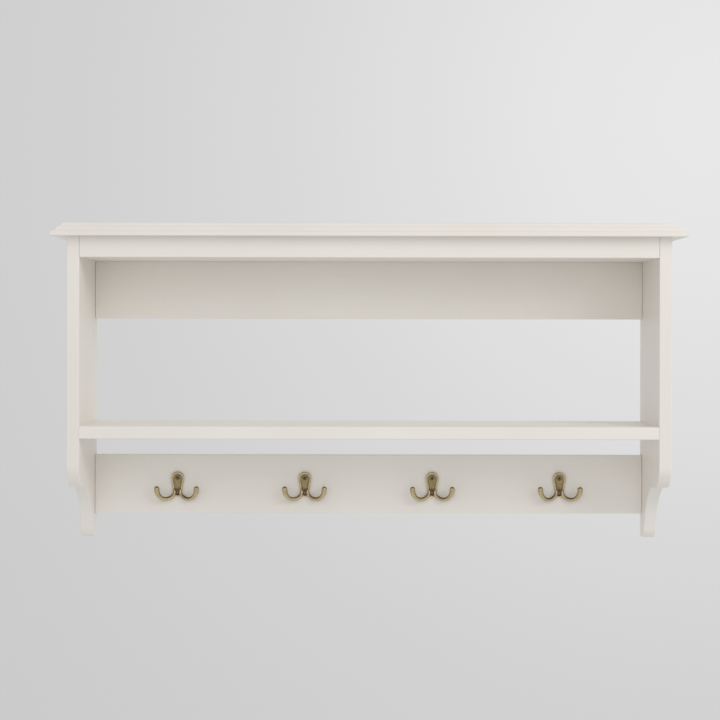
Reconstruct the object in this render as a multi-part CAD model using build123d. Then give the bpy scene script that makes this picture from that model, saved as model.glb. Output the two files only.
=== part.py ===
from build123d import *
import os

# Wall shelf with a rail of double hooks, in painted wood.
# +X is the right-hand side of a person facing the rack, +Y points into the wall (the wall
# face is the plane Y = 0 and the front faces -Y), +Z is up. Millimetres.
# The origin is on the wall plane, midway between the entry holes of the two keyhole hangers.
# Heights named *_Z are counted from the feet of the side panels, and HANGER_Z is taken off
# every node when it is written.

# ---- driving dimensions -------------------------------------------------------------
OVERALL_W = 1000.0        # over the moulded top board
OVERALL_D = 200.0         # wall to the lip of the top board
TOP_T = 22.0              # top board
TOP_END_OVERHANG = 23.0   # past the outer face of each side panel
SIDE_T = 20.0             # side panel thickness
SIDE_D = 180.0            # side panel depth
SIDE_H = 492.0            # side panel height, foot to the underside of the top board
APRON_H = 33.0            # front apron under the top board
APRON_T = 20.0
SOFFIT_T = 15.0           # soffit panel, flush with the bottom of the apron
SHELF_T = 20.0
SHELF_Z = 172.5           # underside of the shelf
RAIL_T = 20.0             # both back rails
UPPER_RAIL_Z = 363.5      # bottom edge of the upper back rail (it runs up to the top board)
HOOK_RAIL_Z = 39.0        # bottom edge of the hook rail
HOOK_RAIL_H = 97.0
RAIL_END_GAP = 0.5        # shadow gap between a rail's end and the side panel
JOINT_GAP = 0.3           # shadow gap between the apron's end and the side panel
RAIL_TOP_GAP = 1.1        # shadow gap between the soffit's back edge and the upper rail
EASE = 1.2                # eased board edges

HOOK_COUNT = 4
HOOK_PITCH = 212.5
HOOK_TOP_Z = 107.5        # top of a hook's plate
HOOK_PLATE_R = 10.8       # round upper lobe of the plate
HOOK_FOOT_R = 7.3         # round lower end, between the arms
HOOK_PLATE_H = 41.2       # plate height
HOOK_PLATE_T = 4.2        # plate thickness at its rim
HOOK_DISH = 1.3           # depth of the dished centre of the plate
HOOK_HALF_W = 33.0        # centre line of the arm tips, from the hook's middle
HOOK_TIP_V = 17.0         # centre of the arm tips, out from the rail
HOOK_ARM_R = 3.4          # arm radius at the bottom of the bend
HOOK_TIP_R = 4.35         # arm radius at the rounded tip
HOOK_SCREW_W = (-9.8, -30.2)   # screw heights below the plate's top

SCREW_SHANK_R = 2.0       # wood screw for a hook
SCREW_HEAD_R = 4.0
SCREW_LEN = 19.0          # head face to tip
HANGER_Z = 430.0          # entry hole of a keyhole hanger
HANGER_PITCH = 800.0      # between the two hangers
HANGER_W = 18.0
HANGER_H = 56.0
HANGER_T = 2.0
HANGER_HOLE_R = 4.6       # entry hole for the wall screw's head
HANGER_SLOT_R = 2.3       # slot for the wall screw's shank
HANGER_RISE = 11.0        # from the entry hole up to the slot's end
HANGER_SCREW_Z = (-19.0, 22.0)  # fixing screws, from the entry hole
POCKET_DEPTH = 11.0       # room for the wall screw's head, from the back of the rail
DOWEL_R = 4.0
DOWEL_CLEAR = 0.05
# -------------------------------------------------------------------------------------

OUT_X = OVERALL_W / 2 - TOP_END_OVERHANG      # outer face of a side panel
IN_X = OUT_X - SIDE_T                         # inner face
SOFFIT_Z = SIDE_H - APRON_H
parts = {}


def box(x0, x1, y0, y1, z0, z1):
    return Pos((x0 + x1) / 2, (y0 + y1) / 2, (z0 + z1) / 2) * Box(x1 - x0, y1 - y0, z1 - z0)


def solid(shape):
    # one closed solid out of an algebra result
    found = shape.solids()
    assert len(found) == 1, len(found)
    return found[0]


def ease(shape, edges, r=EASE):
    return solid(fillet(edges, r))


def along_x(shape):
    return shape.edges().filter_by(Axis.X)


def rod(p, d, r, length):
    # cylinder from point p along direction d
    return Plane(origin=p, z_dir=d) * Pos(0, 0, length / 2) * Cylinder(r, length)


dowel_holes = []          # tools to cut from the boards: (board names, tool)


def dowel(group, p, d, length, boards, r=DOWEL_R):
    # p is the dowel's centre. The end chamfers help it into its hole.
    start = Vector(*p) - Vector(*d) * (length / 2)
    pin = rod(start, d, r, length)
    pin = solid(chamfer(pin.edges().filter_by(GeomType.CIRCLE), 0.8))
    parts.setdefault(group, []).append(pin)
    hole_start = Vector(*p) - Vector(*d) * (length / 2 + 1.0)
    dowel_holes.append((boards, rod(hole_start, d, r + DOWEL_CLEAR, length + 2.0)))


# ---- dowels ---------------------------------------------------------------------------
for side, sx in (("left_side_panel", -1), ("right_side_panel", 1)):
    jx = sx * (IN_X - 5.0)        # 10 mm of each dowel in the side panel, 20 mm in the board
    for y in (-150.0, -90.0, -34.0):
        dowel("top_dowels", (sx * (IN_X + SIDE_T / 2), y, SIDE_H - 5.0), (0, 0, 1), 30.0, ("top_board", side))
    dowel("apron_dowels", (jx, -SIDE_D + APRON_T / 2, SOFFIT_Z + 12.0), (1, 0, 0), 30.0, ("front_apron", side))
    for y in (-120.0, -60.0):
        dowel("soffit_dowels", (jx, y, SOFFIT_Z + SOFFIT_T / 2), (1, 0, 0), 30.0, ("soffit_panel", side), r=3.0)
    for y in (-145.0, -90.0, -35.0):
        dowel("shelf_dowels", (jx, y, SHELF_Z + SHELF_T / 2), (1, 0, 0), 30.0, ("shelf_board", side))
    for z in (UPPER_RAIL_Z + 24.0, UPPER_RAIL_Z + 92.0):
        dowel("upper_rail_dowels", (jx, -RAIL_T / 2, z), (1, 0, 0), 30.0, ("upper_back_rail", side))
    for z in (HOOK_RAIL_Z + 20.0, HOOK_RAIL_Z + HOOK_RAIL_H - 20.0):
        dowel("hook_rail_dowels", (jx, -RAIL_T / 2, z), (1, 0, 0), 30.0, ("hook_rail", side))
for x in (-300.0, 0.0, 300.0):
    dowel("apron_dowels", (x, -SIDE_D + APRON_T / 2, SIDE_H - 5.0), (0, 0, 1), 30.0, ("top_board", "front_apron"))

# ---- top board: its moulding runs along the front and both ends, with mitred corners ----
# Edge profile as (in from the lip, up from the underside): square lip, hollow and round,
# a small quirk and a rounded top.
LIP_H = 6.2
OGEE = [(0.7, LIP_H + 0.5), (3.4, 7.5), (6.2, 9.6), (8.2, 12.3), (10.2, 14.6), (12.8, 15.7)]
CROWN = [(14.6, 16.9), (15.4, 19.0), (17.6, 20.8), (20.6, 21.7), (24.0, TOP_T)]


def edge_wire(place):
    # place(d, h) turns a profile point into a point in space
    path = [Line(place(0.6, 0), place(0, 0.6)), Line(place(0, 0.6), place(0, LIP_H)),
            Line(place(0, LIP_H), place(*OGEE[0])),
            Spline([place(*q) for q in OGEE]),
            Line(place(*OGEE[-1]), place(*CROWN[0])),
            Spline([place(*q) for q in CROWN])]
    return path


def front_at(d, h):
    return (0, -OVERALL_D + d, SIDE_H + h)


def left_at(d, h):
    return (-OVERALL_W / 2 + d, 0, SIDE_H + h)


def right_at(d, h):
    return (OVERALL_W / 2 - d, 0, SIDE_H + h)


BACK_EASE = 0.8
front_edges = edge_wire(front_at) + [
    Line(front_at(*CROWN[-1]), (0, -BACK_EASE, SIDE_H + TOP_T)),
    Line((0, -BACK_EASE, SIDE_H + TOP_T), (0, 0, SIDE_H + TOP_T - BACK_EASE)),
    Line((0, 0, SIDE_H + TOP_T - BACK_EASE), (0, 0, SIDE_H)),
    Line((0, 0, SIDE_H), front_at(0.6, 0))]
front_face = make_face(front_edges)
front_prism = Pos(-OVERALL_W / 2 - 1, 0, 0) * extrude(front_face, OVERALL_W + 2, dir=(1, 0, 0))
end_edges = edge_wire(left_at) + [Line(left_at(*CROWN[-1]), right_at(*CROWN[-1]))] + edge_wire(right_at) + [
    Line(left_at(0.6, 0), right_at(0.6, 0))]
end_face = make_face(end_edges)
end_prism = Pos(0, 1, 0) * extrude(end_face, OVERALL_D + 2, dir=(0, -1, 0))
top_board = solid(front_prism & end_prism)

# ---- side panels: bracket profile as (in from the front edge, height) --------------------
BRACKET = [(0.0, 128.0), (2.2, 119.0), (8.0, 109.5), (15.5, 101.2), (26.0, 95.9), (40.0, 93.6), (58.0, 92.2),
           (76.0, 89.2), (90.0, 82.4), (103.0, 73.6), (116.0, 62.0), (127.0, 47.5), (135.5, 31.0), (141.0, 18.0)]
TOE_MID = (147.0, 6.8)
TOE = (157.0, 0.0)


def panel_face():
    def at(d, z):
        return (0, -SIDE_D + d, z)
    edges = [
        Line(at(SIDE_D, 0), at(SIDE_D, SIDE_H)),
        Line(at(SIDE_D, SIDE_H), at(0, SIDE_H)),
        Line(at(0, SIDE_H), at(*BRACKET[0])),
        Spline([at(*q) for q in BRACKET]),
        ThreePointArc(at(*BRACKET[-1]), at(*TOE_MID), at(*TOE)),
        Line(at(*TOE), at(SIDE_D, 0)),
    ]
    return make_face(edges)


panel = solid(extrude(panel_face(), SIDE_T, dir=(1, 0, 0)))
side_panel = {"left_side_panel": Pos(-OUT_X, 0, 0) * panel, "right_side_panel": Pos(IN_X, 0, 0) * panel}

# ---- apron, soffit, shelf, rails ---------------------------------------------------------
apron = box(-IN_X + JOINT_GAP, IN_X - JOINT_GAP, -SIDE_D, -SIDE_D + APRON_T, SOFFIT_Z, SIDE_H)
apron = ease(apron, along_x(apron).sort_by(Axis.Z)[:2].sort_by(Axis.Y)[:1])
soffit = box(-IN_X, IN_X, -SIDE_D + APRON_T, -RAIL_T - RAIL_TOP_GAP, SOFFIT_Z, SOFFIT_Z + SOFFIT_T)
shelf = box(-IN_X, IN_X, -SIDE_D, 0, SHELF_Z, SHELF_Z + SHELF_T)
shelf = ease(shelf, along_x(shelf).sort_by(Axis.Y)[:2], 1.8)
upper_rail = box(-IN_X + RAIL_END_GAP, IN_X - RAIL_END_GAP, -RAIL_T, 0, UPPER_RAIL_Z, SIDE_H)
upper_rail = ease(upper_rail, along_x(upper_rail).sort_by(Axis.Z)[:2])
hook_rail = box(-IN_X + RAIL_END_GAP, IN_X - RAIL_END_GAP, -RAIL_T, 0, HOOK_RAIL_Z, HOOK_RAIL_Z + HOOK_RAIL_H)
hook_rail = ease(hook_rail, along_x(hook_rail))

boards = {"top_board": top_board, "front_apron": apron, "soffit_panel": soffit, "shelf_board": shelf,
          "upper_back_rail": upper_rail, "hook_rail": hook_rail, **side_panel}
for names, tool in dowel_holes:
    for name in names:
        boards[name] = boards[name] - tool


# ---- wood screws ------------------------------------------------------------------------
def wood_screw(head_r, shank_r, length, recess_r):
    # Axis along local Z, head face at Z = 0, tip at Z = -length. Thread as closed ridges.
    cone = head_r - shank_r
    root = shank_r * 0.72
    pts = [(0, 0), (head_r - 0.25, 0), (head_r, -0.25), (shank_r, -0.25 - cone), (shank_r, -0.3 * length)]
    z = -0.3 * length
    pitch = 1.5
    while z - pitch > -length + 3.2:
        pts += [(root, z - 0.35), (root, z - pitch + 0.5), (shank_r, z - pitch + 0.12), (shank_r, z - pitch)]
        z -= pitch
    pts += [(root, z - 0.3), (root * 0.9, -length + 2.4), (0, -length)]
    section = Plane.XZ * make_face(Polyline(*pts, close=True))
    screw = revolve(section, Axis.Z)
    cross = Pos(0, 0, -0.9) * (Box(2 * recess_r, 0.9, 1.9) + Box(0.9, 2 * recess_r, 1.9))
    return solid(screw - cross)


def screw_hole(shank_r, length):
    return Pos(0, 0, -length / 2 - 0.4) * Cylinder(shank_r + 0.05, length + 0.8)


def sink(head_r, shank_r, depth):
    # countersink with its shank hole, head face at Z = 0
    cone_h = head_r - shank_r
    pts = [(0, 3), (head_r + 0.1, 3), (head_r + 0.1, -0.25), (shank_r + 0.15, -0.25 - cone_h), (shank_r + 0.15, -depth), (0, -depth)]
    return revolve(Plane.XZ * make_face(Polyline(*pts, close=True)), Axis.Z)


# ---- double hook: one casting, with a plate and two arms ----------------------------------
# local axes: X across, Z up from the plate's top (Z = 0), Y = 0 on the rail, -Y outwards
def hook_solid():
    outline = make_hull((Pos(0, -HOOK_PLATE_R) * Circle(HOOK_PLATE_R)).edges()
                        + (Pos(0, HOOK_FOOT_R - HOOK_PLATE_H) * Circle(HOOK_FOOT_R)).edges())
    plate = solid(extrude(Plane.XZ * outline, HOOK_PLATE_T))
    front = [e for e in plate.edges() if abs(e.center().Y + HOOK_PLATE_T) < 0.01]
    plate = solid(fillet(front, 1.6))
    # dished centre, from the upper screw to below the lower one
    dish_r = 60.0
    dish = Pos(0, -HOOK_PLATE_T - dish_r + HOOK_DISH, -16) * Cylinder(dish_r, 44, rotation=(0, 0, 0))
    dish = dish & box(-6.6, 6.6, -HOOK_PLATE_T - 4, 0, -36.5, -4.4)
    plate = solid(plate - dish)
    shape = plate
    for side in (1, -1):
        path = [(4.4, 2.9, -31.0), (4.9, 3.2, -35.2), (7.2, 4.1, -39.6), (10.8, 5.6, -42.7), (15.0, 7.6, -44.4), (19.6, 9.9, -44.8),
                (24.6, 12.4, -43.4), (28.7, 14.6, -39.9), (31.4, 16.1, -35.4), (32.6, 16.8, -31.0), (HOOK_HALF_W, HOOK_TIP_V, -27.1)]
        radii = [(0.0, 2.4), (0.22, 3.1), (0.45, HOOK_ARM_R), (0.7, 3.6), (0.88, 4.1), (1.0, HOOK_TIP_R)]
        spine = Spline([Vector(x, -v, z) for x, v, z in path])
        sections = [Plane(origin=spine @ t, z_dir=spine % t) * Circle(r) for t, r in radii]
        arm = sweep(sections, path=spine, multisection=True) + Pos(*(spine @ 1)) * Sphere(HOOK_TIP_R)
        shape = shape + (arm if side == 1 else mirror(arm, about=Plane.YZ))
    # flat against the rail, and the countersunk screw holes
    shape = shape - box(-60, 60, 0, 30, -80, 20)
    for w in HOOK_SCREW_W:
        shape = shape - (Pos(0, -HOOK_PLATE_T + 0.9, w) * Rot(90, 0, 0) * sink(SCREW_HEAD_R, SCREW_SHANK_R, 12))
    return solid(shape)


hook = hook_solid()
hook_screw = wood_screw(SCREW_HEAD_R, SCREW_SHANK_R, SCREW_LEN, 2.1)
for i in range(HOOK_COUNT):
    hx = (i - (HOOK_COUNT - 1) / 2) * HOOK_PITCH
    place = Pos(hx, -RAIL_T, HOOK_TOP_Z)
    parts[f"hook_{i + 1}"] = [place * hook]
    screws = []
    for w in HOOK_SCREW_W:
        at = place * Pos(0, -HOOK_PLATE_T + 0.9, w) * Rot(90, 0, 0)
        screws.append(at * Rot(0, 0, 17 + 31 * i + 2 * w) * hook_screw)
        boards["hook_rail"] = boards["hook_rail"] - (at * screw_hole(SCREW_SHANK_R, SCREW_LEN))
    parts[f"hook_{i + 1}_screws"] = screws

# ---- keyhole hangers, let into the back of the upper rail --------------------------------
hanger_screw = wood_screw(2.9, 1.5, 13.0, 1.4)
plate_mid = (HANGER_SCREW_Z[0] + HANGER_SCREW_Z[1]) / 2
for side, sx in (("left", -1), ("right", 1)):
    at = Pos(sx * HANGER_PITCH / 2, 0, HANGER_Z)
    flat = Plane.XZ.offset(0)          # normal along -Y
    blank = extrude(flat * Pos(0, plate_mid, 0) * SlotOverall(HANGER_H, HANGER_W, rotation=90), HANGER_T)
    key = extrude(flat * Circle(HANGER_HOLE_R), HANGER_T + 1, both=True) + extrude(
        flat * Pos(0, HANGER_RISE / 2, 0) * SlotOverall(HANGER_RISE + 2 * HANGER_SLOT_R, 2 * HANGER_SLOT_R, rotation=90),
        HANGER_T + 1, both=True)
    hanger = blank - key
    recess = extrude(flat * Pos(0, plate_mid, 0) * SlotOverall(HANGER_H + 0.4, HANGER_W + 0.4, rotation=90), HANGER_T + 0.02)
    pocket = extrude(flat * Pos(0, HANGER_RISE / 2, 0) * SlotOverall(HANGER_RISE + 12.0, 12.0, rotation=90), POCKET_DEPTH)
    boards["upper_back_rail"] = boards["upper_back_rail"] - (at * recess) - (at * pocket)
    screws = []
    for z in HANGER_SCREW_Z:
        turn = Pos(0, -0.15, z) * Rot(-90, 0, 0)     # head face towards the wall
        hanger = hanger - (turn * sink(2.9, 1.5, 6))
        screws.append(at * turn * Rot(0, 0, 20 + 3 * z) * hanger_screw)
        boards["upper_back_rail"] = boards["upper_back_rail"] - (at * turn * screw_hole(1.5, 13.0))
    parts[f"{side}_hanger_plate"] = [at * solid(hanger)]
    parts[f"{side}_hanger_screws"] = screws

for name, board in boards.items():
    parts[name] = [solid(board)]

# ---- write one STEP file per node ---------------------------------------------------------
os.makedirs("parts", exist_ok=True)
drop = Pos(0, 0, -HANGER_Z)
for name, solids in parts.items():
    placed = [drop * solid(s) for s in solids]
    node = placed[0] if len(placed) == 1 else Compound(children=placed)
    node.label = name
    export_step(node, os.path.join("parts", name + ".step"))
    bb = node.bounding_box()
    print(f"{name:20s} {len(placed)} solids  x {bb.min.X:8.2f}..{bb.max.X:8.2f}  y {bb.min.Y:8.2f}..{bb.max.Y:8.2f}  z {bb.min.Z:8.2f}..{bb.max.Z:8.2f}")
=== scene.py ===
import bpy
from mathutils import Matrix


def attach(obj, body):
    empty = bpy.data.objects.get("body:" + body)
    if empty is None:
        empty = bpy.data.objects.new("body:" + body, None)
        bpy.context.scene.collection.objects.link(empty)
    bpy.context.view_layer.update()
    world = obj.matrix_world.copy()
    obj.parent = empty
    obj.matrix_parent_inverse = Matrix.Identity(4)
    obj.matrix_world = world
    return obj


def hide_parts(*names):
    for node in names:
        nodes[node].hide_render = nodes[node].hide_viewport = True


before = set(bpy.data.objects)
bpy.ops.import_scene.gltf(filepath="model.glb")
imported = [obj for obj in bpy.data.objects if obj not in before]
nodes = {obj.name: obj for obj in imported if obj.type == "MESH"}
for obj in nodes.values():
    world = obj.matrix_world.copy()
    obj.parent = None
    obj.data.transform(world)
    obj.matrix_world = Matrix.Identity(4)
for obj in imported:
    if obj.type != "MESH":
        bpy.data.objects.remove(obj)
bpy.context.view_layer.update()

import math

import bmesh
import bpy
import numpy as np
from mathutils import Matrix, Vector

MM = 0.001
FEET = -430.0                 # bottom of the side panels in the row frame, mm

# sizes of the wooden case, mm
OVERALL_W, OVERALL_D = 1000.0, 200.0
SIDE_D, SIDE_H, SIDE_T = 180.0, 492.0, 20.0
IN_X, OUT_X = 457.0, 477.0
TOP_T = 22.0
RAIL_T = 20.0

# ------------------------------------------------------------------------------------------
# curves
# ------------------------------------------------------------------------------------------


def natural_spline(points, count):
    """Natural cubic spline through the points, sampled evenly in chord length."""
    p = np.array(points, float)
    t = np.r_[0, np.cumsum(np.linalg.norm(np.diff(p, axis=0), axis=1))]
    n = len(p)
    h = np.diff(t)
    a = np.zeros((n, n))
    b = np.zeros((n, p.shape[1]))
    a[0, 0] = a[-1, -1] = 1
    for i in range(1, n - 1):
        a[i, i - 1], a[i, i], a[i, i + 1] = h[i - 1], 2 * (h[i - 1] + h[i]), h[i]
        b[i] = 6 * ((p[i + 1] - p[i]) / h[i] - (p[i] - p[i - 1]) / h[i - 1])
    m = np.linalg.solve(a, b)
    s = np.linspace(0, t[-1], count)
    k = np.clip(np.searchsorted(t, s, side="right") - 1, 0, n - 2)
    hk = h[k][:, None]
    u, v = (t[k + 1] - s)[:, None], (s - t[k])[:, None]
    return (m[k] * u ** 3 + m[k + 1] * v ** 3) / (6 * hk) + (p[k] / hk - m[k] * hk / 6) * u + (p[k + 1] / hk - m[k + 1] * hk / 6) * v


def arc3(a, b, c, count):
    """Circle arc from a through b to c."""
    (ax, ay), (bx, by), (cx, cy) = a, b, c
    d = 2 * (ax * (by - cy) + bx * (cy - ay) + cx * (ay - by))
    ux = ((ax * ax + ay * ay) * (by - cy) + (bx * bx + by * by) * (cy - ay) + (cx * cx + cy * cy) * (ay - by)) / d
    uy = ((ax * ax + ay * ay) * (cx - bx) + (bx * bx + by * by) * (ax - cx) + (cx * cx + cy * cy) * (bx - ax)) / d
    r = math.hypot(ax - ux, ay - uy)
    t0, t1, t2 = (math.atan2(y - uy, x - ux) for x, y in (a, b, c))
    while t1 - t0 > math.pi:
        t1 -= 2 * math.pi
    while t1 - t0 < -math.pi:
        t1 += 2 * math.pi
    while t2 - t1 > math.pi:
        t2 -= 2 * math.pi
    while t2 - t1 < -math.pi:
        t2 += 2 * math.pi
    return np.array([(ux + r * math.cos(t), uy + r * math.sin(t)) for t in np.linspace(t0, t2, count)])


def soften(points, corners, trim, closed=False, steps=3):
    """Replaces each listed corner of a polyline with a small curve."""
    out = []
    n = len(points)
    for i, p in enumerate(points):
        p = np.array(p, float)
        if i in corners and (closed or 0 < i < n - 1):
            a = np.array(points[(i - 1) % n], float) - p
            b = np.array(points[(i + 1) % n], float) - p
            ta = min(trim, np.linalg.norm(a) * 0.45)
            tb = min(trim, np.linalg.norm(b) * 0.45)
            a, b = p + a / np.linalg.norm(a) * ta, p + b / np.linalg.norm(b) * tb
            for s in np.linspace(0, 1, steps + 1):
                out.append((1 - s) ** 2 * a + 2 * s * (1 - s) * p + s * s * b)
        else:
            out.append(p)
    return np.array(out)


# ------------------------------------------------------------------------------------------
# meshes
# ------------------------------------------------------------------------------------------


def piece(name, verts_mm, faces, smooth=True):
    mesh = bpy.data.meshes.new(name)
    mesh.from_pydata([tuple(v) for v in np.asarray(verts_mm, float) * MM], [], [tuple(int(i) for i in f) for f in faces])
    mesh.validate()
    bm = bmesh.new()
    bm.from_mesh(mesh)
    bmesh.ops.recalc_face_normals(bm, faces=bm.faces)
    bm.to_mesh(mesh)
    bm.free()
    if smooth:
        mesh.shade_smooth()
    mesh.update()
    obj = bpy.data.objects.new(name, mesh)
    bpy.context.scene.collection.objects.link(obj)
    return obj


def weighted(obj):
    mod = obj.modifiers.new("face_weighted_normals", "WEIGHTED_NORMAL")
    mod.mode = "FACE_AREA"
    mod.weight = 80
    mod.keep_sharp = True
    obj.data.set_sharp_from_angle(angle=math.radians(40))


def drilled(obj, holes):
    """Cuts round holes into a mesh: each is (centre mm, direction, radius mm, length mm)."""
    bm = bmesh.new()
    for centre, direction, radius, length in holes:
        turn = Vector((0, 0, 1)).rotation_difference(Vector(direction)).to_matrix().to_4x4()
        bmesh.ops.create_cone(bm, cap_ends=True, segments=24, radius1=radius * MM, radius2=radius * MM,
                              depth=length * MM, matrix=Matrix.Translation(Vector(centre) * MM) @ turn)
    mesh = bpy.data.meshes.new("cutter")
    bm.to_mesh(mesh)
    bm.free()
    cutter = bpy.data.objects.new("cutter", mesh)
    bpy.context.scene.collection.objects.link(cutter)
    mod = obj.modifiers.new("holes", "BOOLEAN")
    mod.operation, mod.solver, mod.object = "DIFFERENCE", "EXACT", cutter
    bpy.context.view_layer.update()
    cut = bpy.data.meshes.new_from_object(obj.evaluated_get(bpy.context.evaluated_depsgraph_get()))
    obj.modifiers.remove(mod)
    old, obj.data = obj.data, cut
    cut.name = old.name + "_drilled"
    bpy.data.objects.remove(cutter)
    bpy.data.meshes.remove(mesh)
    bpy.data.meshes.remove(old)
    obj.data.shade_smooth()


def top_board():
    """Top board: moulding on the front and both ends, with mitred corners."""
    ogee = natural_spline([(0.7, 6.7), (3.4, 7.5), (6.2, 9.6), (8.2, 12.3), (10.2, 14.6), (12.8, 15.7)], 22)
    crown = natural_spline([(14.6, 16.9), (15.4, 19.0), (17.6, 20.8), (20.6, 21.7), (24.0, 22.0)], 18)
    pts = [(2.4, 0.0), (0.6, 0.0), (0.0, 0.6), (0.0, 6.2)] + [tuple(q) for q in ogee] + [tuple(q) for q in crown] + [(30.0, 22.0)]
    sharp = {1, 2, 3, 4, 4 + len(ogee) - 1, 4 + len(ogee)}
    profile = soften(pts, sharp, 0.32)
    verts, rows = [], []
    corner = 0.55                       # the paint softens the mitred corners
    for d, h in profile:
        x, y, z = OVERALL_W / 2 - d, -OVERALL_D + d, FEET + SIDE_H + h
        ring = [(-x, 0.0), (-x, y / 2)]
        for a in np.linspace(0, math.pi / 2, 4):
            ring.append((-x + corner - corner * math.cos(a), y + corner - corner * math.sin(a)))
        for fx in np.linspace(-0.9, 0.9, 13):
            ring.append((fx * x, y))
        for a in np.linspace(math.pi / 2, 0, 4):
            ring.append((x - corner + corner * math.cos(a), y + corner - corner * math.sin(a)))
        ring += [(x, y / 2), (x, 0.0)]
        rows.append(range(len(verts), len(verts) + len(ring)))
        verts += [(px, py, z) for px, py in ring]
    faces = []
    for r0, r1 in zip(rows, rows[1:]):
        for i in range(len(r0) - 1):
            faces.append((r0[i], r0[i + 1], r1[i + 1], r1[i]))
    faces.append(tuple(reversed(rows[0])))
    faces.append(tuple(rows[-1]))
    faces.append(tuple([r[0] for r in rows] + [r[-1] for r in reversed(rows)]))
    obj = piece("top_board_painted", verts, faces)
    holes = []
    for sx in (-1, 1):
        for y in (-150.0, -90.0, -34.0):
            holes.append(((sx * (IN_X + SIDE_T / 2), y, FEET + SIDE_H), (0, 0, 1), 4.05, 22.0))
    for x in (-300.0, 0.0, 300.0):
        holes.append(((x, -170.0, FEET + SIDE_H), (0, 0, 1), 4.05, 22.0))
    drilled(obj, holes)
    weighted(obj)
    return obj


BRACKET = [(0.0, 128.0), (2.2, 119.0), (8.0, 109.5), (15.5, 101.2), (26.0, 95.9), (40.0, 93.6), (58.0, 92.2),
           (76.0, 89.2), (90.0, 82.4), (103.0, 73.6), (116.0, 62.0), (127.0, 47.5), (135.5, 31.0), (141.0, 18.0)]


def side_panel(name, x0):
    """Side panel with its bracket end, all long edges rounded over a little."""
    curve = natural_spline(BRACKET, 110)
    toe = arc3((141.0, 18.0), (147.0, 6.8), (157.0, 0.0), 14)
    outline = [(SIDE_D, 0.0), (SIDE_D, 120.0), (SIDE_D, 300.0), (SIDE_D, SIDE_H), (90.0, SIDE_H), (0.0, SIDE_H), (0.0, 380.0), (0.0, 250.0), (0.0, 140.0)]
    outline += [tuple(q) for q in curve] + [tuple(q) for q in toe[1:]] + [(168.0, 0.0)]
    foot_corner = {0, len(outline) - 2}
    outline = soften(outline, foot_corner, 3.0, closed=True, steps=7)
    o = np.array(outline)
    area = 0.5 * np.sum(o[:, 0] * np.roll(o[:, 1], -1) - np.roll(o[:, 0], -1) * o[:, 1])
    if area < 0:
        o = o[::-1]
    edge = np.roll(o, -1, axis=0) - o
    edge /= np.linalg.norm(edge, axis=1)[:, None]
    normal = np.c_[-edge[:, 1], edge[:, 0]]          # inwards for an anticlockwise outline
    before = np.roll(normal, 1, axis=0)
    mitre = normal + before
    mitre /= np.linalg.norm(mitre, axis=1)[:, None]
    mitre /= np.maximum((mitre * normal).sum(1), 0.4)[:, None]
    r = 1.3
    half = SIDE_T / 2
    angles = np.radians([0, 22.5, 45, 67.5, 90])
    rings = [(-half + r - r * math.sin(a), r - r * math.cos(a)) for a in angles[::-1]]
    rings += [(half - r + r * math.sin(a), r - r * math.cos(a)) for a in angles]
    verts, rows = [], []
    for off, inset in rings:
        q = o + mitre * inset
        q[o[:, 1] > SIDE_H - 0.01, 1] = SIDE_H       # the top end is cut square under the top board
        rows.append(list(range(len(verts), len(verts) + len(q))))
        verts += [(x0 + half + off, -SIDE_D + d, FEET + z) for d, z in q]
    n = len(o)
    faces = []
    for r0, r1 in zip(rows, rows[1:]):
        for i in range(n):
            j = (i + 1) % n
            faces.append((r0[i], r0[j], r1[j], r1[i]))
    faces += [tuple(rows[0]), tuple(reversed(rows[-1]))]
    obj = piece(name, verts, faces)
    sx = -1 if x0 < 0 else 1
    jx = sx * IN_X
    holes = [((sx * (IN_X + SIDE_T / 2), y, FEET + SIDE_H), (0, 0, 1), 4.05, 42.0) for y in (-150.0, -90.0, -34.0)]
    holes.append(((jx, -170.0, FEET + 459.0 + 12.0), (1, 0, 0), 4.05, 22.0))
    holes += [((jx, y, FEET + 459.0 + 7.5), (1, 0, 0), 3.05, 22.0) for y in (-120.0, -60.0)]
    holes += [((jx, y, FEET + 182.5), (1, 0, 0), 4.05, 22.0) for y in (-145.0, -90.0, -35.0)]
    holes += [((jx, -10.0, z), (1, 0, 0), 4.05, 22.0) for z in (-66.5 + 24, -66.5 + 92)]
    holes += [((jx, -10.0, z), (1, 0, 0), 4.05, 22.0) for z in (-391.0 + 20, -294.0 - 20)]
    drilled(obj, holes)
    weighted(obj)
    return obj


# ------------------------------------------------------------------------------------------
# castings and screws, as smooth closed surfaces of a distance field
# ------------------------------------------------------------------------------------------


def smin(a, b, k):
    h = np.clip(0.5 + 0.5 * (b - a) / k, 0, 1)
    return b + (a - b) * h - k * h * (1 - h)


def smax(a, b, k):
    return -smin(-a, -b, k)


def capsule_2d(x, y, r1, r2, h):
    """Outline of a round end r1 at the origin joined to a round end r2 at height h."""
    x = np.abs(x)
    b = (r1 - r2) / h
    a = math.sqrt(1 - b * b)
    k = -b * x + a * y
    out = x * a + y * b - r1
    out = np.where(k < 0, np.hypot(x, y) - r1, out)
    return np.where(k > a * h, np.hypot(x, y - h) - r2, out)


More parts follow.
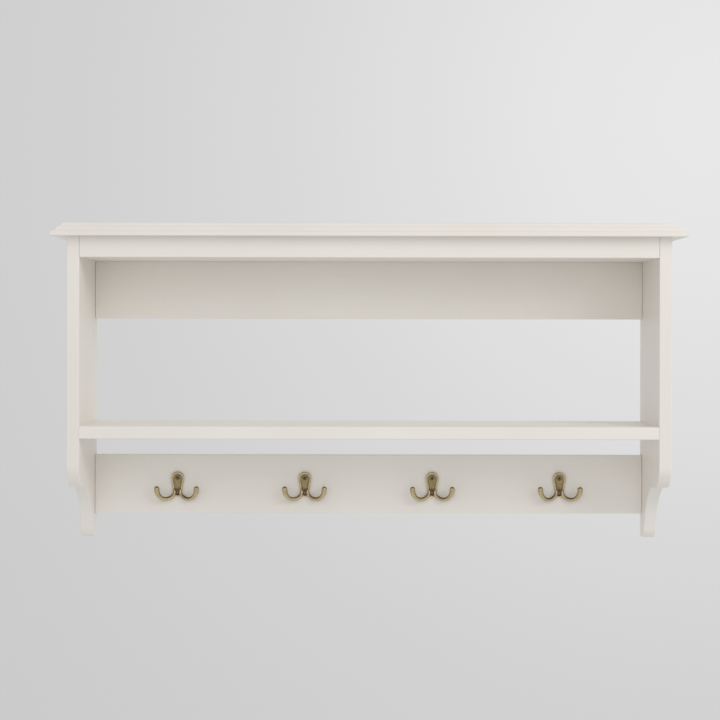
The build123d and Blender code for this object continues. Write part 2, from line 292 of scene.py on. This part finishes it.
def surface(field, lo, hi, step, passes=3):
    """Closed quad mesh on the zero level of a distance field (surface nets, then moved onto the level)."""
    axes = [np.arange(a, b + step, step) for a, b in zip(lo, hi)]
    gx, gy, gz = np.meshgrid(*axes, indexing="ij")
    shape = gx.shape
    pts = np.c_[gx.ravel(), gy.ravel(), gz.ravel()]
    f = np.concatenate([field(c) for c in np.array_split(pts, max(1, len(pts) // 400000))]).reshape(shape)
    f = np.where(f == 0, 1e-9, f)
    cells = tuple(s - 1 for s in shape)
    total = np.zeros(cells + (3,))
    count = np.zeros(cells)
    base = np.stack(np.meshgrid(*[np.arange(c) for c in cells], indexing="ij"), -1).astype(float)
    corners = [(i, j, k) for i in (0, 1) for j in (0, 1) for k in (0, 1)]

    def at(c):
        return f[c[0]:c[0] + cells[0], c[1]:c[1] + cells[1], c[2]:c[2] + cells[2]]

    for c in corners:
        for ax in range(3):
            if c[ax] == 0:
                e = list(c)
                e[ax] = 1
                fa, fb = at(c), at(tuple(e))
                cross = (fa < 0) != (fb < 0)
                t = np.where(cross, fa / np.where(cross, fa - fb, 1.0), 0.0)
                where = base + np.array(c)
                where[..., ax] += t
                total += where * cross[..., None]
                count += cross
    used = count > 0
    index = -np.ones(cells, int)
    index[used] = np.arange(used.sum())
    v = total[used] / count[used][:, None] * step + np.array([a[0] for a in axes])
    quads = []
    for ax in range(3):
        o1, o2 = [a for a in range(3) if a != ax]
        sl_a = [slice(None)] * 3
        sl_b = [slice(None)] * 3
        sl_a[ax] = slice(0, shape[ax] - 1)
        sl_b[ax] = slice(1, shape[ax])
        fa, fb = f[tuple(sl_a)], f[tuple(sl_b)]
        inside, outside = (fa < 0) & (fb >= 0), (fa >= 0) & (fb < 0)
        for mask, flip in ((inside, False), (outside, True)):
            ijk = np.argwhere(mask)
            ijk = ijk[(ijk[:, o1] > 0) & (ijk[:, o2] > 0) & (ijk[:, o1] < cells[o1]) & (ijk[:, o2] < cells[o2])]
            ring = []
            for d1, d2 in ((1, 1), (0, 1), (0, 0), (1, 0)):
                q = ijk.copy()
                q[:, o1] -= d1
                q[:, o2] -= d2
                ring.append(index[q[:, 0], q[:, 1], q[:, 2]])
            q = np.stack(ring, 1)
            if flip != (ax == 1):
                q = q[:, ::-1]
            quads.append(q)
    quads = np.concatenate(quads)
    for _ in range(passes):
        g = gradient(field, v, 0.05)
        v = v - field(v)[:, None] * g / np.maximum((g * g).sum(1), 0.25)[:, None]
    return v, quads


def gradient(field, v, e):
    return np.stack([(field(v + d) - field(v - d)) / (2 * e) for d in np.eye(3) * e], 1)


def bend(field, v, e):
    """Curvature of the field: above 0 on ridges, below 0 in hollows."""
    return (sum(field(v + d) + field(v - d) for d in np.eye(3) * e) - 6 * field(v)) / e ** 2


ARM = [(4.4, 2.9, -31.0), (4.9, 3.2, -35.2), (7.2, 4.1, -39.6), (10.8, 5.6, -42.7), (15.0, 7.6, -44.4), (19.6, 9.9, -44.8),
       (24.6, 12.4, -43.4), (28.7, 14.6, -39.9), (31.4, 16.1, -35.4), (32.6, 16.8, -31.0), (33.0, 17.0, -27.1)]
ARM_R = [(0.0, 2.4), (0.22, 3.1), (0.45, 3.4), (0.7, 3.6), (0.88, 4.1), (1.0, 4.35)]
SCREW_W = (-9.8, -30.2)
PLATE_T = 4.2
arm_line = natural_spline(ARM, 64)
arm_t = np.r_[0, np.cumsum(np.linalg.norm(np.diff(arm_line, axis=0), axis=1))]
arm_t /= arm_t[-1]
arm_r = np.interp(arm_t, [t for t, r in ARM_R], [r for t, r in ARM_R])


def arm_field(x, v, w):
    best = np.full(x.shape, 1e9)
    for (a, ra), (b, rb) in zip(zip(arm_line, arm_r), zip(arm_line[1:], arm_r[1:])):
        d = b - a
        px, pv, pw = x - a[0], v - a[1], w - a[2]
        s = np.clip((px * d[0] + pv * d[1] + pw * d[2]) / (d @ d), 0, 1)
        dist = np.sqrt((px - s * d[0]) ** 2 + (pv - s * d[1]) ** 2 + (pw - s * d[2]) ** 2)
        np.minimum(best, dist - (ra + (rb - ra) * s), out=best)
    return best


def hook_field(p):
    """Double hook: x across, v out from the rail, w up from the plate's top (all mm)."""
    x, v, w = np.abs(p[:, 0]), p[:, 1], p[:, 2]
    lobe = np.hypot(x, w + 10.8) - 10.8
    waist = capsule_2d(x, -(w + 16.5), 9.5, 7.3, 17.2)
    outline = smin(lobe, waist, 3.0)
    round_r = 1.7
    a, b = outline + round_r, v - PLATE_T + round_r
    plate = np.minimum(np.maximum(a, b), 0) + np.hypot(np.maximum(a, 0), np.maximum(b, 0)) - round_r
    # scooped centre inside a soft raised rim
    inside = np.clip((-outline - 1.2) / 3.4, 0, 1)
    scoop = 1.2 * inside * inside * (3 - 2 * inside)
    plate = smax(plate, (v - (PLATE_T - scoop)) * 0.88, 0.35)
    arms = arm_field(x, v, w)
    body = smin(plate, arms, 1.3)
    # the hollow between the arm roots stays open above the arched crotch
    hollow = np.sqrt((x / 2.5) ** 2 + ((w + 36.6) / 3.2) ** 2 + ((v - 4.9) / 2.8) ** 2)
    hollow = (hollow - 1) * 2.0
    body = smax(body, -hollow, 0.7)
    for sw in SCREW_W:
        rho = np.hypot(x, w - sw)
        depth = v - (PLATE_T - 0.9)                 # above 0 in front of the screw's head face
        cone = (rho - (4.12 + np.clip(depth + 0.25, -2.1, 0))) * 0.8
        body = smax(body, -cone, 0.25)
    return np.maximum(body, -v)


def screw_field(head_r, shank_r, length, dome, cross_r):
    """Countersunk wood screw along its third axis, head face at 0, tip at -length."""
    root = shank_r * 0.72

    def field(p):
        x, y, s = p[:, 0], p[:, 1], p[:, 2]
        rho = np.hypot(x, y)
        turn = np.arctan2(y, x) / (2 * math.pi)
        phase = np.abs(((s / 1.5 - turn) % 1.0) - 0.5) * 2
        depth = np.clip((-s - 0.3 * length) / 1.5, 0, 1)
        taper = np.clip((s + length) / 3.4, 0, 1)
        r = (shank_r - (shank_r - root) * depth * np.clip(phase * 1.5 - 0.2, 0, 1)) * (0.12 + 0.88 * taper)
        shank = np.maximum((rho - r) * 0.75, -(s + length))
        shank = np.maximum(shank, s)
        cone = np.maximum((rho - (head_r + np.clip(s + 0.25, -head_r, 0))) * 0.72, rho - head_r)
        crest = s - dome * (1 - (rho / head_r) ** 2)
        head = smax(np.maximum(cone, -(s + head_r - shank_r + 0.25)), crest * 0.95, 0.18)
        solid = np.minimum(head, shank)
        reach = cross_r + np.clip(s, -2.2, 0.5) * 0.85
        wing = 0.42 + 0.06 * s
        cross = np.minimum(np.maximum(np.abs(x) - wing, np.abs(y) - reach), np.maximum(np.abs(y) - wing, np.abs(x) - reach))
        cross = np.maximum(cross, -(s + 1.9))
        return smax(solid, -cross, 0.12)
    return field


# ------------------------------------------------------------------------------------------
# materials
# ------------------------------------------------------------------------------------------


class Nodes:
    """Short way to write a node material."""

    def __init__(self, name):
        self.mat = bpy.data.materials.new(name)
        self.mat.use_nodes = True
        self.tree = self.mat.node_tree
        self.shader = self.tree.nodes["Principled BSDF"]
        self.coord = self.add("ShaderNodeTexCoord").outputs["Object"]

    def add(self, kind, **props):
        node = self.tree.nodes.new(kind)
        for key, value in props.items():
            setattr(node, key, value)
        return node

    def link(self, a, b):
        self.tree.links.new(a, b)

    def scaled(self, scale, offset=(0, 0, 0)):
        m = self.add("ShaderNodeMapping")
        m.inputs["Scale"].default_value = scale
        m.inputs["Location"].default_value = offset
        self.link(self.coord, m.inputs["Vector"])
        return m.outputs["Vector"]

    def noise(self, scale, detail=3.0, rough=0.5, vector=None):
        n = self.add("ShaderNodeTexNoise")
        n.inputs["Scale"].default_value = scale
        n.inputs["Detail"].default_value = detail
        n.inputs["Roughness"].default_value = rough
        self.link(vector if vector is not None else self.coord, n.inputs["Vector"])
        return n.outputs["Fac"]

    def ramp(self, value, stops):
        r = self.add("ShaderNodeValToRGB")
        while len(r.color_ramp.elements) < len(stops):
            r.color_ramp.elements.new(0.5)
        for e, (pos, col) in zip(r.color_ramp.elements, stops):
            e.position = pos
            e.color = (*col, 1.0) if len(col) == 3 else col
        self.link(value, r.inputs["Fac"])
        return r.outputs["Color"]

    def range(self, value, a, b, c, d):
        m = self.add("ShaderNodeMapRange")
        for key, x in (("From Min", a), ("From Max", b), ("To Min", c), ("To Max", d)):
            m.inputs[key].default_value = x
        self.link(value, m.inputs["Value"])
        return m.outputs["Result"]

    def math(self, kind, a, b=None):
        m = self.add("ShaderNodeMath", operation=kind)
        for i, x in enumerate((a, b)):
            if x is None:
                continue
            if isinstance(x, (int, float)):
                m.inputs[i].default_value = x
            else:
                self.link(x, m.inputs[i])
        return m.outputs[0]

    def mix(self, fac, a, b, kind="MIX"):
        m = self.add("ShaderNodeMix", data_type="RGBA", blend_type=kind)
        for sock, x in ((m.inputs[0], fac), (m.inputs[6], a), (m.inputs[7], b)):
            if isinstance(x, (int, float)):
                sock.default_value = x
            elif isinstance(x, tuple):
                sock.default_value = (*x, 1.0)
            else:
                self.link(x, sock)
        return m.outputs[2]

    def bump(self, height, strength, distance, normal=None):
        b = self.add("ShaderNodeBump")
        b.inputs["Strength"].default_value = strength
        b.inputs["Distance"].default_value = distance
        self.link(height, b.inputs["Height"])
        if normal is not None:
            self.link(normal, b.inputs["Normal"])
        return b.outputs["Normal"]

    def set(self, **values):
        for key, x in values.items():
            sock = self.shader.inputs[key.replace("_", " ")]
            if isinstance(x, (int, float)):
                sock.default_value = x
            elif isinstance(x, tuple):
                sock.default_value = (*x, 1.0)
            else:
                self.link(x, sock)


def painted(name, grain, seed):
    """Satin off-white paint brushed along the grain of the board (0 = along X, 1 = along Y, 2 = along Z)."""
    n = Nodes(name)
    along = [1.0, 1.0, 1.0]
    along[grain] = 0.035
    offset = (seed * 1.37, seed * 0.71, seed * 2.13)
    vec = n.scaled(tuple(along), offset)
    streak = n.noise(260.0, 4.0, 0.62, vec)
    fibre = n.noise(900.0, 3.0, 0.6, vec)
    cloud = n.noise(5.5, 2.0, 0.5, n.scaled((1, 1, 1), offset))
    peel = n.noise(1100.0, 2.0, 0.5)
    speck = n.noise(330.0, 2.0, 0.5, n.scaled((1, 1, 1), offset))
    colour = n.ramp(cloud, [(0.30, (0.804, 0.767, 0.706)), (0.52, (0.828, 0.793, 0.738)), (0.75, (0.844, 0.812, 0.763))])
    colour = n.mix(n.range(streak, 0.35, 0.70, 0.0, 0.30), colour, (0.792, 0.750, 0.676))
    colour = n.mix(n.range(speck, 0.66, 0.74, 0.0, 0.20), colour, (0.700, 0.650, 0.560))
    edge = n.range(n.add("ShaderNodeNewGeometry").outputs["Pointiness"], 0.52, 0.60, 0.0, 0.30)
    colour = n.mix(edge, colour, (0.868, 0.843, 0.796))
    rough = n.range(n.math("ADD", n.math("MULTIPLY", streak, 0.6), n.math("MULTIPLY", cloud, 0.4)), 0.3, 0.7, 0.36, 0.50)
    normal = n.bump(streak, 0.22, 0.00025)
    normal = n.bump(fibre, 0.10, 0.00012, normal)
    normal = n.bump(peel, 0.06, 0.00010, normal)
    n.set(Base_Color=colour, Roughness=rough, Normal=normal, IOR=1.5, Coat_Weight=0.08, Coat_Roughness=0.30)
    return n.mat


def aged_brass(name, seed=0.0):
    """Cast brass with a dark brown patina, brushed bright again on the faces and ridges that stand out, plus a
    painted reflection: lighter on down-facing faces and darker on up-facing faces.
    """
    n = Nodes(name)
    polish_and_painted_reflection = n.add("ShaderNodeAttribute", attribute_name="polish_and_painted_reflection").outputs["Fac"]
    mottle = n.noise(420.0, 4.0, 0.6, n.scaled((1, 1, 1), (seed, seed, seed)))
    fine = n.noise(1900.0, 3.0, 0.6)
    grain = n.noise(2600.0, 2.0, 0.5, n.scaled((0.35, 1.0, 1.0)))
    amount = n.math("ADD", polish_and_painted_reflection, n.math("MULTIPLY", n.math("SUBTRACT", mottle, 0.5), 0.42))
    amount = n.math("ADD", amount, n.math("MULTIPLY", n.math("SUBTRACT", fine, 0.5), 0.18))
    colour = n.ramp(amount, [(0.05, (0.070, 0.045, 0.022)), (0.26, (0.190, 0.130, 0.062)), (0.50, (0.395, 0.302, 0.165)), (0.78, (0.600, 0.498, 0.315)), (1.0, (0.720, 0.630, 0.440))])
    green = n.range(n.noise(160.0, 3.0, 0.5, n.scaled((1, 1, 1), (seed + 3, 1, 2))), 0.52, 0.72, 0.0, 0.28)
    colour = n.mix(green, colour, (0.205, 0.185, 0.075))
    rough = n.range(amount, 0.1, 0.9, 0.52, 0.27)
    normal = n.bump(fine, 0.20, 0.00012)
    normal = n.bump(grain, 0.10, 0.00006, normal)
    normal = n.bump(mottle, 0.22, 0.00020, normal)
    n.set(Base_Color=colour, Roughness=rough, Metallic=1.0, Normal=normal)
    return n.mat


def screw_metal(name, dark, light, rough):
    n = Nodes(name)
    mottle = n.noise(700.0, 4.0, 0.6)
    fine = n.noise(2600.0, 2.0, 0.5)
    colour = n.ramp(mottle, [(0.30, dark), (0.70, light)])
    n.set(Base_Color=colour, Roughness=n.range(mottle, 0.3, 0.7, rough + 0.1, rough - 0.06), Metallic=1.0, Normal=n.bump(fine, 0.2, 0.00008))
    return n.mat


def zinc(name):
    n = Nodes(name)
    v = n.add("ShaderNodeTexVoronoi")
    v.inputs["Scale"].default_value = 420.0
    n.link(n.coord, v.inputs["Vector"])
    spangle = v.outputs["Distance"]
    mottle = n.noise(260.0, 4.0, 0.6)
    fine = n.noise(2200.0, 2.0, 0.5, n.scaled((1.0, 1.0, 0.12)))
    colour = n.ramp(n.math("ADD", n.math("MULTIPLY", mottle, 0.7), n.math("MULTIPLY", spangle, 0.4)),
                    [(0.25, (0.44, 0.44, 0.45)), (0.60, (0.62, 0.63, 0.64)), (0.85, (0.72, 0.72, 0.71))])
    normal = n.bump(fine, 0.25, 0.00008, n.bump(mottle, 0.2, 0.00015))
    n.set(Base_Color=colour, Roughness=n.range(mottle, 0.3, 0.7, 0.44, 0.30), Metallic=1.0, Normal=normal)
    return n.mat


def beech(name):
    n = Nodes(name)
    vec = n.scaled((1.0, 1.0, 1.0))
    ring = n.noise(240.0, 4.0, 0.6, vec)
    fleck = n.noise(1500.0, 2.0, 0.5, vec)
    colour = n.ramp(ring, [(0.3, (0.42, 0.27, 0.15)), (0.55, (0.58, 0.41, 0.25)), (0.8, (0.66, 0.50, 0.33))])
    colour = n.mix(n.range(fleck, 0.6, 0.75, 0.0, 0.35), colour, (0.34, 0.20, 0.10))
    n.set(Base_Color=colour, Roughness=n.range(ring, 0.3, 0.7, 0.62, 0.72), Normal=n.bump(fleck, 0.3, 0.0001))
    return n.mat


paint_x = painted("painted_wood_long", 0, 1.0)
paint_x2 = painted("painted_wood_rails", 0, 4.0)
paint_z = painted("painted_wood_sides", 2, 7.0)
brass = [aged_brass("aged_brass_%d" % (i + 1), 0.7 * i) for i in range(4)]
screw_brass = screw_metal("screw_brass_dark", (0.105, 0.078, 0.046), (0.290, 0.232, 0.150), 0.40)
steel_screw = screw_metal("steel_screw", (0.30, 0.30, 0.31), (0.55, 0.55, 0.56), 0.38)
zinc_steel = zinc("zinc_steel")
wood = beech("dowel_beech")


def wear(obj_or_node, mat):
    obj_or_node.data.materials.clear()
    obj_or_node.data.materials.append(mat)


def stands_for(obj, node, mat):
    wear(obj, mat)
    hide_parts(node)
    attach(obj, "root")


for node in ("front_apron", "shelf_board"):
    wear(nodes[node], paint_x)
for node in ("soffit_panel", "upper_back_rail", "hook_rail"):
    wear(nodes[node], paint_x2)
for node in nodes:
    if node.endswith("_dowels"):
        wear(nodes[node], wood)
    elif node.endswith("hanger_plate"):
        wear(nodes[node], zinc_steel)

# ------------------------------------------------------------------------------------------
# the wooden parts that get their own mesh
# ------------------------------------------------------------------------------------------
stands_for(top_board(), "top_board", paint_x)
stands_for(side_panel("left_side_painted", -OUT_X), "left_side_panel", paint_z)
stands_for(side_panel("right_side_painted", IN_X), "right_side_panel", paint_z)

# ------------------------------------------------------------------------------------------
# hooks
# ------------------------------------------------------------------------------------------
STEP = 0.42
hook_v, hook_q = surface(hook_field, (-38.4, -0.63, -50.9), (38.4, 22.2, 1.3), STEP)
hook_v[:, 1] = np.maximum(hook_v[:, 1], 0.0)
g = gradient(hook_field, hook_v, 0.1)
g /= np.maximum(np.linalg.norm(g, axis=1), 1e-6)[:, None]
ridge = bend(hook_field, hook_v + g * 0.0, 0.9)
out_face, down = g[:, 1], -g[:, 2]
side_out = g[:, 0] * np.sign(hook_v[:, 0])
# real patina darker in hollows and brushed brighter on ridges and front faces; the down term is a painted
# reflection that makes down-facing faces lighter, as if mirroring a bright floor
polish_and_painted_reflection = 0.47 + 0.42 * np.clip(ridge, -0.8, 0.8) + 0.10 * np.clip(out_face, 0, 1) + 0.24 * down
# painted reflection: up-facing faces, such as the tips' tops and the throats, are darker, as if mirroring the
# shaded shelf above
polish_and_painted_reflection -= 0.30 * np.clip((g[:, 2] - 0.25) / 0.6, 0, 1)
for sw in SCREW_W:
    near = np.hypot(hook_v[:, 0], hook_v[:, 2] - sw)
    polish_and_painted_reflection -= 0.16 * np.clip((5.8 - near) / 1.6, 0, 1) * (hook_v[:, 1] < 5.0)
in_dish = (np.hypot(hook_v[:, 0] / 7.5, (hook_v[:, 2] + 20) / 19.5) < 1) & (hook_v[:, 1] < 3.6)
polish_and_painted_reflection = np.where(in_dish, polish_and_painted_reflection - 0.12, polish_and_painted_reflection)
polish_and_painted_reflection = np.clip(polish_and_painted_reflection, 0.0, 1.0)

screw_len = 19.0
sv, sq = surface(screw_field(4.0, 2.0, screw_len, 0.45, 2.2), (-4.4, -4.4, -19.3), (4.4, 4.4, 1.0), 0.22)

for i in range(4):
    hx = (i - 1.5) * 212.5
    verts = np.c_[hook_v[:, 0] + hx, -RAIL_T - hook_v[:, 1], FEET + 107.5 + hook_v[:, 2]]
    hook = piece("hook_%d_cast" % (i + 1), verts, hook_q)
    layer = hook.data.attributes.new("polish_and_painted_reflection", "FLOAT", "POINT")
    layer.data.foreach_set("value", polish_and_painted_reflection.astype(np.float32))
    stands_for(hook, "hook_%d" % (i + 1), brass[i])
    allv, allq = [], []
    for w in SCREW_W:
        a = math.radians(17 + 31 * i + 2 * w)
        rx = sv[:, 0] * math.cos(a) - sv[:, 1] * math.sin(a)
        rz = sv[:, 0] * math.sin(a) + sv[:, 1] * math.cos(a)
        allq.append(sq + sum(len(q) for q in allv))
        allv.append(np.c_[hx + rx, -RAIL_T - (PLATE_T - 0.9) - sv[:, 2], FEET + 107.5 + w + rz])
    screws = piece("hook_%d_wood_screws" % (i + 1), np.concatenate(allv), np.concatenate(allq))
    stands_for(screws, "hook_%d_screws" % (i + 1), screw_brass)

# ------------------------------------------------------------------------------------------
# the keyhole hangers' screws, in the back
# ------------------------------------------------------------------------------------------
for side in ("left", "right"):
    wear(nodes[side + "_hanger_screws"], steel_screw)

# ------------------------------------------------------------------------------------------
# studio: a plain pale floor, and a plain pale backdrop well behind the object
# ------------------------------------------------------------------------------------------


def stage_plane(name, half, at, turn, colour):
    bm = bmesh.new()
    bmesh.ops.create_grid(bm, x_segments=2, y_segments=2, size=half)
    mesh = bpy.data.meshes.new(name)
    bm.to_mesh(mesh)
    bm.free()
    obj = bpy.data.objects.new(name, mesh)
    bpy.context.scene.collection.objects.link(obj)
    obj.location = at
    obj.rotation_euler = turn
    paint = Nodes(name + "_paint")
    paint.set(Base_Color=colour, Roughness=0.9)
    mesh.materials.append(paint.mat)
    obj.visible_diffuse = obj.visible_glossy = obj.visible_transmission = obj.visible_shadow = False
    return obj


stage_plane("studio_floor", 40.0, (0, 0, -1.95), (0, 0, 0), (0.93, 0.93, 0.94))
stage_plane("studio_backdrop", 12.0, (0, 4.4, 2.0), (math.radians(90), 0, 0), (0.765, 0.762, 0.766))

world = bpy.data.worlds.new("studio")
world.use_nodes = True
world.node_tree.nodes["Background"].inputs["Color"].default_value = (0.705, 0.704, 0.706, 1)
world.node_tree.nodes["Background"].inputs["Strength"].default_value = 1.0
bpy.context.scene.world = world


def area(name, at, look, size, power, colour=(1, 1, 1)):
    light = bpy.data.lights.new(name, "AREA")
    light.shape = "RECTANGLE"
    light.size, light.size_y = size
    light.energy = power
    light.color = colour
    obj = bpy.data.objects.new(name, light)
    bpy.context.scene.collection.objects.link(obj)
    obj.location = at
    obj.rotation_euler = (Vector(look) - Vector(at)).to_track_quat("-Z", "Y").to_euler()
    return obj


area("key", (2.3, -2.3, 1.45), (0, 0, -0.1), (1.6, 1.4), 31.8, (1.0, 0.990, 0.978))
area("fill", (-0.3, -2.7, 0.6), (0, 0, 0.0), (1.4, 0.8), 4.6, (1.0, 0.994, 0.985))
area("low_fill", (0.0, -2.3, -1.5), (0, 0, 0.0), (1.6, 0.6), 0.5, (1.0, 0.994, 0.985))
area("backdrop_light", (1.6, 1.6, 0.9), (1.4, 4.4, 0.8), (1.2, 1.2), 24.0)

cam_data = bpy.data.cameras.new("camera")
cam_data.lens = 82.6
cam_data.sensor_width = 36.0
cam_data.shift_y = -0.0413
camera = bpy.data.objects.new("camera", cam_data)
bpy.context.scene.collection.objects.link(camera)
camera.location = (-0.0146, -2.781, -0.0855)
camera.rotation_euler = (math.radians(90), math.radians(-0.12), 0)
bpy.context.scene.camera = camera
bpy.context.scene.view_settings.view_transform = "Standard"
